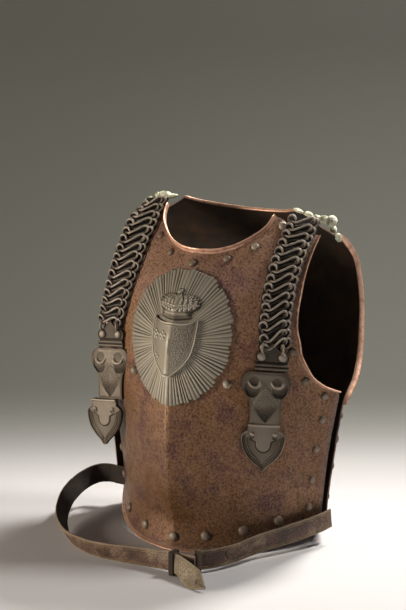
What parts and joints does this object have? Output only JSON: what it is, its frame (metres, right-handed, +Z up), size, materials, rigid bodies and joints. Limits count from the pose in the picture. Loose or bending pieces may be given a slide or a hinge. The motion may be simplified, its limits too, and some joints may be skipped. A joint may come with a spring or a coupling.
{
  "type": "cuirass",
  "caption": "Metal cuirass for the torso: ridged breastplate and backplate, rayed plaque, chain shoulder straps and a leather waist belt.",
  "frame": {"origin": "bottom centre of the bounding box, on the surface the cuirass stands on", "axes": "+Z up, -Y the way the chest faces, +X to the right of someone facing the chest"},
  "size_m": [0.391, 0.3486, 0.433],
  "materials": {
    "rusted_steel": "brown patina, satin",
    "cast_brass": "aged, satin",
    "chain_brass": "dark aged, satin",
    "verdigris_brass": "matte, corroded",
    "leather": "worn, matte"
  },
  "bodies": {
    "root": {"breastplate": "rusted_steel", "backplate": "rusted_steel", "sunburst_plaque": "cast_brass", "shoulder_chain_right": "chain_brass", "shoulder_chain_left": "chain_brass", "chain_plate_right": "cast_brass", "lobed_plate_right": "cast_brass", "tip_plate_right": "cast_brass", "chain_plate_left": "cast_brass", "lobed_plate_left": "cast_brass", "tip_plate_left": "cast_brass", "breast_stud_right": "cast_brass", "breast_stud_left": "cast_brass", "neck_rivet_1": "cast_brass", "neck_rivet_2": "cast_brass", "neck_rivet_3": "cast_brass", "neck_rivet_4": "cast_brass", "neck_rivet_5": "cast_brass", "neck_rivet_6": "cast_brass", "side_rivet_1": "cast_brass", "side_rivet_2": "cast_brass", "side_rivet_3": "cast_brass", "side_rivet_4": "cast_brass", "side_rivet_5": "cast_brass", "side_rivet_6": "cast_brass", "side_rivet_7": "cast_brass", "side_rivet_8": "cast_brass", "side_rivet_9": "cast_brass", "side_rivet_10": "cast_brass", "side_rivet_11": "cast_brass", "side_rivet_12": "cast_brass", "side_rivet_13": "cast_brass", "side_rivet_14": "cast_brass", "lower_rivet_1": "cast_brass", "lower_rivet_2": "cast_brass", "lower_rivet_3": "cast_brass", "lower_rivet_4": "cast_brass", "lower_rivet_5": "cast_brass", "lower_rivet_6": "cast_brass", "back_rivet_1": "cast_brass", "back_rivet_2": "cast_brass", "back_rivet_3": "cast_brass", "back_rivet_4": "cast_brass", "back_rivet_5": "cast_brass", "back_rivet_6": "cast_brass", "back_rivet_7": "cast_brass", "back_rivet_8": "cast_brass", "shoulder_fitting_right": "verdigris_brass", "shoulder_fitting_left": "verdigris_brass", "belt_left": "leather", "belt_right": "leather", "belt_tip": "leather", "belt_keeper": "leather", "belt_buckle": "verdigris_brass"}
  },
  "joints": []
}
